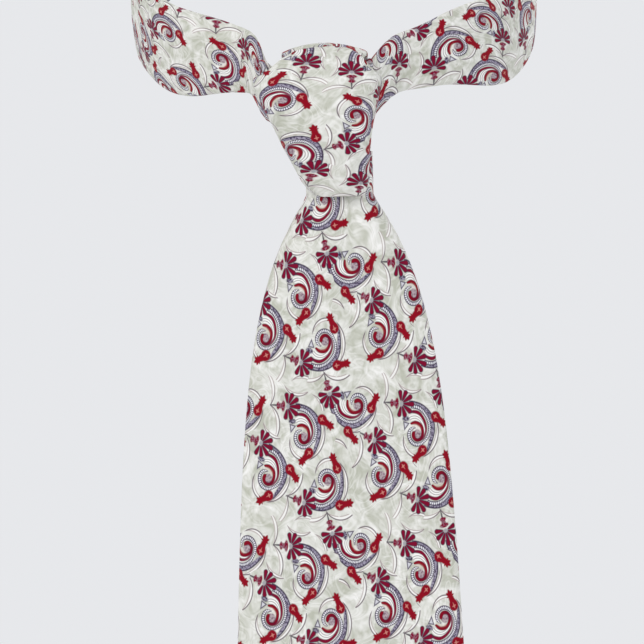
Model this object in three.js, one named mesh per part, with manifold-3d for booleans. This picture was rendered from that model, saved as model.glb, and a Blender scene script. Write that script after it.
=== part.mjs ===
// A worn necktie: neck band, four-in-hand knot, front blade and tail.
// Millimetres, +Z up. The origin is the centre of the neck loop, +X is to the right
// of someone facing the wearer, and the front of the tie faces -Y.
import * as THREE from 'three';
import Module from 'manifold-3d';
import { mergeVertices } from 'three/addons/utils/BufferGeometryUtils.js';

const wasm = await Module();
wasm.setup();

// ---- driving dimensions -------------------------------------------------------------
const CLEARANCE = 0.3;          // gap between pieces that touch

const LOOP_HALF_WIDTH = 62;     // neck loop, to the middle of the band
const LOOP_HALF_DEPTH = 64;
const LOOP_MID_Z = -8;          // the loop slopes from the nape down to the knot
const LOOP_TILT = 32;
const BAND_HEIGHT_BACK = 34;
const BAND_HEIGHT_FRONT = 27;
const BAND_THICKNESS = 3.4;
const BAND_SHELL = 0.8;         // the folded cloth itself
const BLADE_LEG_END = -160;     // degrees round the loop, 0 at the nape
const TAIL_LEG_END = 167;
const GUSSET_REACH = 62;        // half of the neck piece, in degrees

const MOUTH_Z = -74;            // lower edge of the knot
const KNOT_HEIGHT = 38;         // of its outer wrap
const KNOT_WRAP = 2.2;          // thickness of the outer wrap

const BLADE_FRONT_Y = -76;
const BLADE_LENGTH = 465;       // mouth of the knot to the tip
const BLADE_TIP_RISE = 44.2;    // height of the pointed end
const BLADE_TOP = 3;            // the hinge line, below the mouth
const BLADE_LAYERS = { shell: 0.9, interlining: 1.4, tipping: 0.5 };
const BLADE_HEM = 11;
const BLADE_TIPPING = 110;      // height of the tipping, up from the tip

const TAIL_FRONT_Y = -69.6;
const TAIL_LENGTH = 365;
const TAIL_TIP_RISE = 24.6;
const TAIL_TOP = 49;            // top of the stiff part, below the mouth
const TAIL_LAYERS = { shell: 0.8, interlining: 0.9, tipping: 0.4 };
const TAIL_HEM = 8;
const TAIL_TIPPING = 70;

const SEAM_GAP = 1.6;           // between the two back folds
const THREAD_RADIUS = 0.35;
const STITCH_PITCH = 14;

const KEEPER_DEPTH = 275;       // middle of the keeper, below the mouth
const KEEPER = { halfWidth: 29, height: 14, thickness: 0.8, foot: 6, room: 1.9 };  // room behind the tail

// ---- materials ----------------------------------------------------------------------
const finish = (color, roughness) => () => new THREE.MeshStandardMaterial({ color, roughness, metalness: 0 });
const printedSilk = finish(0xd8cfc6, 0.55);
const woolInterlining = finish(0xe9e4d6, 0.95);
const tippingSatin = finish(0x9a1f33, 0.4);
const silkThread = finish(0xe8e0d2, 0.6);
const labelSatin = finish(0x2b2c3a, 0.45);

const tie = new THREE.Group();
tie.name = 'necktie';

function add(name, geometry, material) {
  const mesh = new THREE.Mesh(geometry, material());
  mesh.name = name;
  tie.add(mesh);
  return mesh;
}

// ---- geometry helpers ---------------------------------------------------------------
/** Closed solid through a row of loops with equally many points, capped at both ends. */
function loft(loops, capFaces) {
  const count = loops[0].length;
  const last = (loops.length - 1) * count;
  const index = [];
  for (let row = 0; row < loops.length - 1; row++) {
    for (let i = 0; i < count; i++) {
      const a = row * count + i;
      const b = row * count + (i + 1) % count;
      index.push(a, b, b + count, a, b + count, a + count);
    }
  }
  for (const [a, b, c] of capFaces) {
    index.push(a, c, b, last + a, last + b, last + c);
  }
  const points = loops.flat();
  let volume = 0;
  for (let i = 0; i < index.length; i += 3) {
    const [a, b, c] = [points[index[i]], points[index[i + 1]], points[index[i + 2]]];
    volume += a.dot(b.clone().cross(c));
  }
  const geometry = new THREE.BufferGeometry().setFromPoints(points);
  geometry.setIndex(volume > 0 ? index : index.reverse());
  return geometry;
}

/** Sheet of cloth of even thickness along a surface(u, v), both from 0 to 1. */
function clothSheet(surface, thickness, columns, rows) {
  const step = 1e-3;
  const side = (u, v, offset) => {
    const along = surface(u + step, v).sub(surface(u - step, v));
    const across = surface(u, v + step).sub(surface(u, v - step));
    return surface(u, v).addScaledVector(along.cross(across).normalize(), offset);
  };
  const loops = [];
  for (let row = 0; row <= rows; row++) {
    const loop = [];
    for (let i = 0; i <= columns; i++) loop.push(side(i / columns, row / rows, thickness / 2));
    for (let i = columns; i >= 0; i--) loop.push(side(i / columns, row / rows, -thickness / 2));
    loops.push(loop);
  }
  const capFaces = [];
  for (let i = 0; i < columns; i++) {
    const far = 2 * columns + 1 - i;
    capFaces.push([i, i + 1, far - 1], [i, far - 1, far]);
  }
  return loft(loops, capFaces);
}

/** Flat layer: a shape in X and Z, from frontY back by its thickness. */
function layer(shape, frontY, thickness) {
  const geometry = new THREE.ExtrudeGeometry(shape, { depth: thickness, bevelEnabled: false });
  return geometry.rotateX(Math.PI / 2).translate(0, frontY + thickness, 0);
}

function solid(geometry) {
  const bare = new THREE.BufferGeometry();
  bare.setAttribute('position', geometry.getAttribute('position'));
  bare.setIndex(geometry.getIndex());
  const merged = mergeVertices(bare, 1e-4);
  return new wasm.Manifold(new wasm.Mesh({
    numProp: 3,
    vertProperties: Float32Array.from(merged.getAttribute('position').array),
    triVerts: Uint32Array.from(merged.getIndex().array),
  }));
}

function cut(geometry, ...tools) {
  const result = tools.reduce((rest, tool) => rest.subtract(solid(tool)), solid(geometry)).getMesh();
  const cutGeometry = new THREE.BufferGeometry();
  cutGeometry.setAttribute('position', new THREE.BufferAttribute(result.vertProperties, 3));
  cutGeometry.setIndex(new THREE.BufferAttribute(result.triVerts, 1));
  return cutGeometry;
}

function thread(points, stepsPerPoint = 2) {
  const section = new THREE.Shape();
  section.absarc(0, 0, THREAD_RADIUS, 0, 2 * Math.PI);
  return new THREE.ExtrudeGeometry(section, {
    curveSegments: 3,
    steps: (points.length - 1) * stepsPerPoint,
    bevelEnabled: false,
    extrudePath: new THREE.CatmullRomCurve3(points),
  });
}

// ---- blade and tail -----------------------------------------------------------------
// Depths are measured down from the mouth of the knot.
const bladeHalfWidth = (depth) => 0.5 * (59 + 0.07 * depth) * (1 - 0.655 * Math.exp(-depth / 27.5));
const tailHalfWidth = (depth) => 0.5 * (22.6 + 0.078 * depth);

/** Pointed panel outline from top down to the tip, drawn in by inset on every edge but the top. */
function pointedPanel(end, top, inset) {
  const shoulder = end.length - end.tipRise;
  const steps = 12;
  const sides = [];
  for (let i = 0; i <= steps; i++) {
    const depth = top + (shoulder - top) * (i / steps) ** 1.8;
    sides.push(new THREE.Vector2(end.halfWidth(depth) - inset, MOUTH_Z - depth));
  }
  const tip = new THREE.Vector2(0, MOUTH_Z - end.length + inset * Math.SQRT2);
  const mirrored = sides.map((point) => new THREE.Vector2(-point.x, point.y)).reverse();
  return new THREE.Shape([...mirrored, ...sides, tip]);
}

/** Back opening of the folded shell: the seam, then the window over the tipping. */
function backOpening(end, top) {
  const seam = SEAM_GAP / 2;
  const shoulder = end.length - end.tipRise;
  const windowHalf = end.halfWidth(shoulder) - end.hem;
  const apex = shoulder - windowHalf * 1.5;
  const outline = [
    [-seam, top - 1], [seam, top - 1], [seam, apex], [windowHalf, shoulder],
    [0, end.length - end.hem * Math.SQRT2], [-windowHalf, shoulder], [-seam, apex],
  ];
  return new THREE.Shape(outline.map(([x, depth]) => new THREE.Vector2(x, MOUTH_Z - depth)));
}

function buildEnd(name, end) {
  const { shell, interlining, tipping } = end.layers;
  const thickness = 2 * shell + interlining + tipping + 3 * CLEARANCE;
  const backY = end.frontY + thickness;
  const inset = shell + CLEARANCE;

  const cavityTop = end.top - 1;
  const cavity = layer(pointedPanel(end, cavityTop, shell), end.frontY + shell, thickness - 2 * shell);
  const opening = layer(backOpening(end, end.top), backY - shell - CLEARANCE, shell + 2 * CLEARANCE);
  const outside = layer(pointedPanel(end, end.top, 0), end.frontY, thickness);
  add(`${name}_shell`, cut(outside, cavity, opening), printedSilk);

  const interliningY = end.frontY + inset;
  add(`${name}_interlining`, layer(pointedPanel(end, end.top, inset), interliningY, interlining), woolInterlining);

  const tippingTop = end.length - end.tippingHeight;
  const tippingY = interliningY + interlining + CLEARANCE;
  add(`${name}_tipping`, layer(pointedPanel(end, tippingTop, inset), tippingY, tipping), tippingSatin);

  const apex = end.length - end.tipRise - (end.halfWidth(end.length - end.tipRise) - end.hem) * 1.5;
  const threadY = backY + CLEARANCE + THREAD_RADIUS;
  const stitches = [];
  for (let depth = end.top + 8, sign = 1; depth < apex - 8; depth += STITCH_PITCH, sign = -sign) {
    stitches.push(new THREE.Vector3(sign * 1.6, threadY, MOUTH_Z - depth));
  }
  add(`${name}_slip_stitch`, thread(stitches), silkThread);

  const tack = new THREE.CapsuleGeometry(0.6, 9, 3, 8).rotateZ(Math.PI / 2);
  tack.translate(0, backY + CLEARANCE + 0.6, MOUTH_Z - apex + 3);
  add(`${name}_bar_tack`, tack, silkThread);
  return backY;
}

const bladeBackY = buildEnd('front_blade', {
  halfWidth: bladeHalfWidth,
  frontY: BLADE_FRONT_Y,
  top: BLADE_TOP,
  length: BLADE_LENGTH,
  tipRise: BLADE_TIP_RISE,
  layers: BLADE_LAYERS,
  hem: BLADE_HEM,
  tippingHeight: BLADE_TIPPING,
});
const tailBackY = buildEnd('tail', {
  halfWidth: tailHalfWidth,
  frontY: TAIL_FRONT_Y,
  top: TAIL_TOP,
  length: TAIL_LENGTH,
  tipRise: TAIL_TIP_RISE,
  layers: TAIL_LAYERS,
  hem: TAIL_HEM,
  tippingHeight: TAIL_TIPPING,
});

// The limp upper stretch of the tail, between the knot and its stiff part.
const leadThickness = 2.6;
const leadMidY = (TAIL_FRONT_Y + tailBackY) / 2;
const leadTop = 1;
const leadBottom = TAIL_TOP - CLEARANCE;
const leadTopHalfWidth = 6.5;
add('tail_lead', clothSheet((u, v) => {
  const depth = leadTop + (leadBottom - leadTop) * v;
  const spread = THREE.MathUtils.smoothstep(v, 0, 1);
  const half = THREE.MathUtils.lerp(leadTopHalfWidth, tailHalfWidth(TAIL_TOP) - 0.5, spread);
  return new THREE.Vector3((2 * u - 1) * half, leadMidY, MOUTH_Z - depth);
}, leadThickness, 4, 8), printedSilk);

// Keeper: a narrow bridge of cloth on the back of the blade that the tail runs through.
function keeperSection() {
  const { halfWidth, thickness, foot, room } = KEEPER;
  const footY = bladeBackY + CLEARANCE;
  const outerY = tailBackY + room + thickness;
  const outerHalf = [
    [halfWidth, outerY], [halfWidth, footY + thickness],
    [halfWidth + foot, footY + thickness], [halfWidth + foot, footY],
    [halfWidth - thickness, footY], [halfWidth - thickness, outerY - thickness],
  ];
  const otherHalf = outerHalf.map(([x, y]) => [-x, y]).reverse();
  return new THREE.Shape([...outerHalf, ...otherHalf].map(([x, y]) => new THREE.Vector2(x, y)));
}
const keeper = new THREE.ExtrudeGeometry(keeperSection(), { depth: KEEPER.height, bevelEnabled: false });
keeper.translate(0, 0, MOUTH_Z - KEEPER_DEPTH - KEEPER.height / 2);
add('keeper_loop', keeper, printedSilk);

for (const [side, sign] of [['left', -1], ['right', 1]]) {
  const stitchY = bladeBackY + 2 * CLEARANCE + KEEPER.thickness + THREAD_RADIUS;
  const stitch = new THREE.CapsuleGeometry(THREAD_RADIUS, KEEPER.height - 3, 3, 8).rotateX(Math.PI / 2);
  stitch.translate(sign * (KEEPER.halfWidth + KEEPER.foot / 2), stitchY, MOUTH_Z - KEEPER_DEPTH);
  add(`keeper_stitch_${side}`, stitch, silkThread);
}

const label = { width: 40, height: 16, thickness: 0.5, below: 34 };
const labelBox = new THREE.BoxGeometry(label.width, label.thickness, label.height);
labelBox.translate(0, bladeBackY + CLEARANCE + 0.8 + label.thickness / 2, MOUTH_Z - KEEPER_DEPTH - label.below);
add('blank_label', labelBox, labelSatin);

// ---- knot ---------------------------------------------------------------------------
// Half-ellipse sections by height above the mouth; the left side slants, the right flares.
const knotLeft = (height) => -(8.2 + 0.53 * height);
const knotRight = (height) => 9 + 6.2 * (height / KNOT_HEIGHT) ** 2.6;
const knotFront = (height) => -79 - 7.5 * Math.sin(Math.PI * height / 56);
const knotBack = (height) => -63 + 5 * height / 46;

/** Point of the knot, angle in degrees: 0 on the right, 90 at the front, 270 at the back. */
function knotPoint(angle, height, inset) {
  const turn = THREE.MathUtils.degToRad(angle);
  const level = Math.max(height, 0.01);
  const halfWidth = (knotRight(level) - knotLeft(level)) / 2 - inset;
  const halfDepth = (knotBack(level) - knotFront(level)) / 2 - inset;
  return new THREE.Vector3(
    (knotRight(level) + knotLeft(level)) / 2 + halfWidth * Math.cos(turn),
    (knotBack(level) + knotFront(level)) / 2 - halfDepth * Math.sin(turn),
    MOUTH_Z + height,
  );
}

function knotWrap(name, wrap) {
  const { angles, heights, inset, thickness, columns, rows } = wrap;
  const { lerp } = THREE.MathUtils;
  add(name, clothSheet((u, v) => knotPoint(lerp(...angles, u), lerp(...heights, v), inset + thickness / 2),
    thickness, columns, rows), printedSilk);
}

const innerLayer = KNOT_WRAP + 0.5;
knotWrap('knot_front_wrap', {
  angles: [-12, 192], heights: [0, KNOT_HEIGHT], inset: 0, thickness: KNOT_WRAP, columns: 26, rows: 10,
});
knotWrap('knot_back_wrap', {
  angles: [199, 341], heights: [2, KNOT_HEIGHT - 3], inset: 0, thickness: 2, columns: 14, rows: 8,
});
knotWrap('knot_blade_root', {
  angles: [35, 145], heights: [0.4, KNOT_HEIGHT - 4], inset: innerLayer, thickness: 2.6, columns: 12, rows: 8,
});
knotWrap('knot_first_wrap', {
  angles: [45, 135], heights: [4, KNOT_HEIGHT - 6], inset: innerLayer + 3.1, thickness: 1.4, columns: 8, rows: 6,
});

const stripHalfWidth = 4.2;
const stripFrontY = -70.2;
const stripThickness = 2.8;
const passiveStrip = new THREE.Shape([
  new THREE.Vector2(-stripHalfWidth, MOUTH_Z + 0.4),
  new THREE.Vector2(stripHalfWidth, MOUTH_Z + 0.4),
  new THREE.Vector2(stripHalfWidth + 3, MOUTH_Z + KNOT_HEIGHT),
  new THREE.Vector2(-stripHalfWidth - 3, MOUTH_Z + KNOT_HEIGHT),
]);
add('knot_passive_strip', layer(passiveStrip, stripFrontY, stripThickness), printedSilk);

// The blade comes up behind the knot and folds over its top.
const foldPath = new THREE.CatmullRomCurve3([
  new THREE.Vector3(0, -55.6, -54),
  new THREE.Vector3(0, -55.2, -42),
  new THREE.Vector3(0, -57.4, -33),
  new THREE.Vector3(0, -63.5, -29.4),
  new THREE.Vector3(0, -71, -29.6),
  new THREE.Vector3(0, -75.2, -35),
]);
const foldSpan = [-13, 6];
add('knot_top_fold', clothSheet((u, v) => {
  const middle = foldPath.getPoint(THREE.MathUtils.clamp(v, 0, 1));
  const overrun = v - THREE.MathUtils.clamp(v, 0, 1);
  const tangent = foldPath.getTangent(THREE.MathUtils.clamp(v, 0, 1));
  middle.addScaledVector(tangent, overrun * foldPath.getLength());
  middle.x = THREE.MathUtils.lerp(...foldSpan, u);
  return middle;
}, 2.4, 6, 20), printedSilk);

// ---- neck band ----------------------------------------------------------------------
const toeShare = (degrees) => (1 - Math.cos(THREE.MathUtils.degToRad(degrees))) / 2;
const bandHeight = (degrees) => THREE.MathUtils.lerp(BAND_HEIGHT_BACK, BAND_HEIGHT_FRONT, toeShare(degrees));

/** Place on the band: degrees round the loop, then out from its middle and up along it. */
function bandPoint(degrees, out, up) {
  const turn = THREE.MathUtils.degToRad(degrees);
  const normal = new THREE.Vector2(Math.sin(turn) / LOOP_HALF_WIDTH, Math.cos(turn) / LOOP_HALF_DEPTH).normalize();
  return new THREE.Vector3(
    LOOP_HALF_WIDTH * Math.sin(turn) + normal.x * out,
    LOOP_HALF_DEPTH * Math.cos(turn) + normal.y * out,
    LOOP_MID_Z + LOOP_TILT * Math.cos(turn) + up,
  );
}

const narrowing = (degrees) => bandHeight(degrees) / BAND_HEIGHT_BACK;

/** Folded shell of a stretch of band; its ends slope with the height by a bias, in degrees per mm. */
function foldedBand(name, run) {
  const { from, to, fromBias, toBias, steps } = run;
  const { lerp } = THREE.MathUtils;
  const segments = foldLine.length - 1;
  add(name, clothSheet((u, v) => {
    const start = THREE.MathUtils.clamp(Math.floor(u * segments), 0, segments - 1);
    const point = foldLine[start].clone().lerp(foldLine[start + 1], u * segments - start);
    const rise = point.y * narrowing(lerp(from, to, v));
    const degrees = lerp(from + rise * fromBias, to + rise * toBias, v);
    return bandPoint(degrees, point.x, point.y * narrowing(degrees));
  }, BAND_SHELL, segments, steps), printedSilk);
}

/** Points along a row of corners, so that no stretch is longer than the limit. */
function subdivided(corners, limit) {
  const points = [corners[0]];
  for (let i = 1; i < corners.length; i++) {
    const parts = Math.ceil(corners[i].distanceTo(corners[i - 1]) / limit);
    for (let k = 1; k <= parts; k++) points.push(corners[i - 1].clone().lerp(corners[i], k / parts));
  }
  return points;
}

// The cloth runs from the slip-stitched seam on the neck side, round the fold, and back to it.
const foldOut = (BAND_THICKNESS - BAND_SHELL) / 2;
const foldEdge = (BAND_HEIGHT_BACK - BAND_SHELL) / 2;
const lip = SEAM_GAP / 2;
const foldLine = subdivided([
  [-foldOut, lip], [-foldOut, foldEdge], [foldOut, foldEdge],
  [foldOut, -foldEdge], [-foldOut, -foldEdge], [-foldOut, -lip],
].map(([x, y]) => new THREE.Vector2(x, y)), 4.5);

const BIAS = 0.9;               // degrees round the loop per millimetre of height: a 45 degree cut
const cutGap = 0.5;             // degrees, between two cut pieces
foldedBand('neck_gusset_shell', {
  from: -GUSSET_REACH, to: GUSSET_REACH, fromBias: BIAS, toBias: BIAS, steps: 24,
});
foldedBand('blade_leg_shell', {
  from: BLADE_LEG_END, to: -GUSSET_REACH - cutGap, fromBias: 0, toBias: BIAS, steps: 18,
});
foldedBand('tail_leg_shell', {
  from: GUSSET_REACH + cutGap, to: TAIL_LEG_END, fromBias: BIAS, toBias: 0, steps: 18,
});

const fill = (BAND_THICKNESS / 2 - BAND_SHELL) - CLEARANCE;
const fillEdge = foldEdge - BAND_SHELL / 2 - 1.5 * CLEARANCE;
add('neck_band_interlining', clothSheet((u, v) => {
  const degrees = THREE.MathUtils.lerp(BLADE_LEG_END, TAIL_LEG_END, v);
  return bandPoint(degrees, 0, (2 * u - 1) * fillEdge * narrowing(degrees));
}, 2 * fill, 4, 60), woolInterlining);

const neckStitches = [];
const stitchOut = -BAND_THICKNESS / 2 - CLEARANCE - THREAD_RADIUS;
const neckStitchStep = 13;      // degrees
for (let degrees = BLADE_LEG_END + 4, sign = 1; degrees < TAIL_LEG_END - 4; degrees += neckStitchStep, sign = -sign) {
  neckStitches.push(bandPoint(degrees, stitchOut, sign * 1.6));
}
add('neck_slip_stitch', thread(neckStitches, 5), silkThread);

// Sewn ridges over the two bias seams that join the neck piece to the blade and tail pieces.
for (const [name, degrees] of [['blade_piecing_seam', -GUSSET_REACH], ['tail_piecing_seam', GUSSET_REACH]]) {
  const ridge = { width: 1.6, thickness: 0.5, share: 0.46 };
  const ridgeOut = BAND_THICKNESS / 2 + CLEARANCE + ridge.thickness / 2;
  add(name, clothSheet((u, v) => {
    const rise = (2 * v - 1) * ridge.share * bandHeight(degrees);
    const across = (u - 0.5) * ridge.width;
    return bandPoint(degrees + rise * BIAS + across, ridgeOut, rise);
  }, ridge.thickness, 2, 10), silkThread);
}

export default tie;
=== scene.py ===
"""Looks of a printed silk necktie, worn and tied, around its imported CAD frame."""
import math
from functools import reduce

import bpy
from mathutils import Matrix, Vector, noise


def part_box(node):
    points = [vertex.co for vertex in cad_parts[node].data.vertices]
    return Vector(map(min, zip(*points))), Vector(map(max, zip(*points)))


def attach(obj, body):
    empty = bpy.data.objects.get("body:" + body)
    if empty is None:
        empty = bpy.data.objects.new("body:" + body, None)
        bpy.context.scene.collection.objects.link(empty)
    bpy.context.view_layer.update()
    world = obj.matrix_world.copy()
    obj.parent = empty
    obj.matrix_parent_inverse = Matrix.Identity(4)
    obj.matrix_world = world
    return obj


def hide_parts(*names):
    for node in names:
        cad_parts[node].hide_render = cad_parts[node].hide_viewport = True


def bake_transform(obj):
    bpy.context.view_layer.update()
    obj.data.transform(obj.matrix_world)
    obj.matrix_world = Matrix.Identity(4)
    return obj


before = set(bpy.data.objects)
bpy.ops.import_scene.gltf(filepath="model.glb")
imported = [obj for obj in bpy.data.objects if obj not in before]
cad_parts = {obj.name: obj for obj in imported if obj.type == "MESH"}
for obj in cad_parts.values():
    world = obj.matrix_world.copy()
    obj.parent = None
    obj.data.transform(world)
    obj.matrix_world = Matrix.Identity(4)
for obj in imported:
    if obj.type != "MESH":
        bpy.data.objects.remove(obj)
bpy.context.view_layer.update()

MM = 0.001


# ---- shader helpers -----------------------------------------------------------------
def srgb(*levels):
    """Colour from 0-255 display levels."""
    linear = [(v / 255) / 12.92 if v <= 10 else ((v / 255 + 0.055) / 1.055) ** 2.4 for v in levels]
    return (*linear, 1.0)


class Value:
    """A number in a shader, so that node networks can be written as formulas."""

    def __init__(self, graph, source):
        self.graph = graph
        self.source = source

    def __add__(self, other):
        return self.graph.math("ADD", self, other)

    def __sub__(self, other):
        return self.graph.math("SUBTRACT", self, other)

    def __mul__(self, other):
        return self.graph.math("MULTIPLY", self, other)

    def __truediv__(self, other):
        return self.graph.math("DIVIDE", self, other)

    def __abs__(self):
        return self.graph.math("ABSOLUTE", self)


class Graph:
    """Adds nodes to one material."""

    def __init__(self, tree):
        self.tree = tree

    def node(self, kind, inputs=None, **settings):
        made = self.tree.nodes.new(kind)
        for key, value in settings.items():
            setattr(made, key, value)
        for key, value in (inputs or {}).items():
            self.feed(made.inputs[key], value)
        return made

    def feed(self, socket, value):
        if isinstance(value, Value):
            value = value.source
        if isinstance(value, bpy.types.NodeSocket):
            self.tree.links.new(value, socket)
        elif value is not None:
            socket.default_value = value

    def math(self, operation, *inputs, clamp=False):
        made = self.node("ShaderNodeMath", dict(enumerate(inputs)), operation=operation, use_clamp=clamp)
        return Value(self, made.outputs[0])

    def vector(self, operation, *inputs):
        made = self.node("ShaderNodeVectorMath", dict(enumerate(inputs)), operation=operation)
        number = operation in ("DISTANCE", "LENGTH", "DOT_PRODUCT")
        return Value(self, made.outputs["Value"]) if number else made.outputs["Vector"]

    def split(self, vector):
        made = self.node("ShaderNodeSeparateXYZ", {0: vector})
        return [Value(self, output) for output in made.outputs]

    def length(self, x, y):
        return self.vector("LENGTH", self.node("ShaderNodeCombineXYZ", {0: x, 1: y}).outputs[0])

    def least(self, *values):
        return reduce(lambda a, b: self.math("MINIMUM", a, b), values)

    def most(self, *values):
        return reduce(lambda a, b: self.math("MAXIMUM", a, b), values)

    def clamp(self, value, low, high):
        return self.most(self.least(value, high), low)

    def inside(self, distance, soft=0.35):
        """1 where a signed distance is negative, 0 where it is positive, with a soft edge."""
        return self.math("ADD", distance * (-0.5 / soft), 0.5, clamp=True)

    def ink(self, under, over, distance, soft=0.35, strength=1.0):
        """One colour laid over another where a signed distance is negative."""
        return self.mix(self.inside(distance, soft) * strength, under, over)

    def curve(self, value, points):
        """A smooth curve through (0 to 1, 0 to 1) points."""
        made = self.node("ShaderNodeFloatCurve", {"Value": value})
        line = made.mapping.curves[0]
        while len(line.points) < len(points):
            line.points.new(0.5, 0.5)
        for point, place in zip(line.points, points):
            point.location = place
        made.mapping.update()
        return Value(self, made.outputs[0])

    def mix(self, factor, under, over, kind="RGBA", blend="MIX"):
        made = self.node("ShaderNodeMix", data_type=kind)
        if kind == "RGBA":
            made.blend_type = blend
        made.clamp_factor = True
        sockets = [s for s in made.inputs if s.enabled]
        for socket, value in zip(sockets, (factor, under, over)):
            self.feed(socket, value)
        return next(s for s in made.outputs if s.enabled)

    def noise(self, vector, scale, detail=2.0, roughness=0.5, distortion=0.0):
        inputs = {"Vector": vector, "Scale": scale, "Detail": detail, "Roughness": roughness,
                  "Distortion": distortion}
        return Value(self, self.node("ShaderNodeTexNoise", inputs).outputs[0])


def new_material(name):
    material = bpy.data.materials.new(name)
    material.use_nodes = True
    material.node_tree.nodes.clear()
    return material, Graph(material.node_tree)


# ---- the print ----------------------------------------------------------------------
# One paisley motif, drawn in its own plane: the origin is the hub of its palmette, the
# palmette opens along +X, and Y runs down. Four copies of it, two of them mirrored, make
# a repeat, which is then stretched along the tie. Hubs and repeat are in mm of cloth.
UNIT = 0.3                      # mm of cloth in one unit of the motif's own plane
STRETCH = 1.23
REPEAT = (34.11, 34.14)
COPIES = (                      # hub, turn in degrees, mirrored
    ((-4.23, -23.58), 3.8, 1),
    ((21.6, -14.79), 22.9, 1),
    ((8.31, -26.46), 75.0, -1),
    ((0.0, 0.0), 19.7, -1),
)
MOTIF_MIDDLE = (14.0, 12.0)     # each copy reaches half a repeat to every side of it
EXTENT = (                      # circles that cover a motif; cloth belongs to the nearest one
    ((1.5, 0.0), 12.5), ((-9.0, 0.0), 6.5), ((20.0, 21.0), 17.5), ((39.0, 12.0), 8.5),
    ((19.5, 40.0), 8.0), ((-8.0, 17.0), 3.5), ((-17.0, -13.0), 3.0),
)
CURL = (17.3, 24.3)             # middle of the curl
LINE_SCALE, WIDTH_SCALE = 30, 5     # largest radius and half width of the curl's strokes

CREAM = srgb(243, 242, 239)
SAGE = srgb(188, 190, 176)
SAGE_LINE = srgb(166, 168, 150)
STRIPE_GREY = srgb(104, 104, 98)
LEAF_LINE = srgb(72, 60, 74)
LEAF_RIM = srgb(140, 112, 110)
PETAL = srgb(124, 0, 42)
BUD_RED = srgb(140, 0, 26)
DEEP_RED = srgb(108, 0, 34)
ORANGE = srgb(186, 84, 74)
SPARK = srgb(216, 150, 136)
GLOW = srgb(214, 190, 172)
SLATE = srgb(78, 68, 92)
LAVENDER = srgb(158, 152, 170)
MAUVE = srgb(150, 116, 132)
FADED_ROSE = srgb(134, 84, 102)
CALYX_ROSE = srgb(138, 92, 104)
STEM_GREY = srgb(88, 84, 88)
HUB_GREY = srgb(158, 162, 166)
EYE_MAUVE = srgb(132, 108, 120)
EYE_GREY = srgb(180, 166, 170)
BARB_GREY = srgb(206, 206, 212)
BEAD = srgb(228, 228, 232)
OUTLINE = srgb(50, 38, 62)


def turned(g, vector, angle):
    inputs = {"Vector": vector, "Angle": angle}
    return g.node("ShaderNodeVectorRotate", inputs, rotation_type="Z_AXIS").outputs[0]


def motif_plane(g, cloth):
    """Place in the plane of the nearest motif, and in mm of cloth, from the place on the cloth."""
    place = g.vector("MULTIPLY", cloth, (1 / MM, -1 / (MM * STRETCH), 0))
    half = (REPEAT[0] / 2, REPEAT[1] / 2, 1)
    best_cost, best_place = None, None
    for hub, degrees, mirror in COPIES:
        angle = math.radians(degrees)
        off_hub = Vector((MOTIF_MIDDLE[0], MOTIF_MIDDLE[1] * mirror, 0)) * UNIT
        middle = Vector((*hub, 0)) + Matrix.Rotation(angle, 3, "Z") @ off_hub
        wrapped = g.vector("WRAP", g.vector("SUBTRACT", place, middle), half, tuple(-h for h in half))
        to_units = (1 / UNIT, mirror / UNIT, 0)
        local = g.vector("MULTIPLY_ADD", turned(g, wrapped, -angle), to_units, (*MOTIF_MIDDLE, 0))
        cost = g.least(*(g.vector("DISTANCE", local, (x, y, 0)) - radius for (x, y), radius in EXTENT))
        if best_cost is None:
            best_cost, best_place = cost, local
        else:
            nearer = g.math("LESS_THAN", cost, best_cost)
            best_place = g.mix(nearer, best_place, local, kind="VECTOR")
            best_cost = g.least(best_cost, cost)
    return best_place, place


def stroke(g, radius, degrees, start, line, widths):
    """Share of the turn, signed distance to a spiral stroke, and offset from its middle line.

    line and widths are (degrees, radius) and (degrees, half width) pairs round the curl.
    """
    share = g.math("WRAP", (degrees - start) / 360, 1.0, 0.0)
    middle, half = (g.curve(share, [((d - start) / 360, size / scale) for d, size in points]) * scale
                    for points, scale in ((line, LINE_SCALE), (widths, WIDTH_SCALE)))
    offset = radius - middle
    return share, abs(offset) - half, offset


def oval(g, x, y, half_x, half_y, size):
    """Signed distance to an ellipse, exact on its edge where size is its half width."""
    return g.length(x / half_x, y / half_y) * size - size


def capsule(g, x, y, start, end, start_half, end_half):
    """Signed distance to a tapered bar along X, from start to end."""
    along = g.clamp(x, start, end)
    half = (along - start) * ((end_half - start_half) / (end - start)) + start_half
    return g.length(x - along, y) - half


def paint_ground(g, cloth):
    """Cream ground with sage clouds and faint swirls."""
    clouds = g.noise(cloth, 0.045 / UNIT, 3.0, 0.55, 1.6)
    colour = g.ink(CREAM, SAGE, clouds * -10 + 4.6, 1.8)
    swirl = g.noise(cloth, 0.03 / UNIT, 1.0, 0.4, 1.6)
    ridge = abs(g.math("WRAP", swirl * 6.0, 0.5, -0.5))
    colour = g.ink(colour, CREAM, ridge * 8.0 - 0.8, 1.4, 0.4)
    return g.ink(colour, SAGE_LINE, abs(ridge - 0.3) * 10.0 - 0.5, 1.0, 0.25)


def outside_arc(g, place, start, tip, rise):
    """Distance outside the circle through two points that rises that far to one side of them."""
    length = math.dist(start, tip)
    radius = (length ** 2 / 4 + rise ** 2) / (2 * rise)
    away = (rise - radius) / length
    middle = ((start[0] + tip[0]) / 2 + (tip[1] - start[1]) * away,
              (start[1] + tip[1]) / 2 - (tip[0] - start[0]) * away, 0)
    return g.vector("DISTANCE", place, middle) - radius


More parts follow.
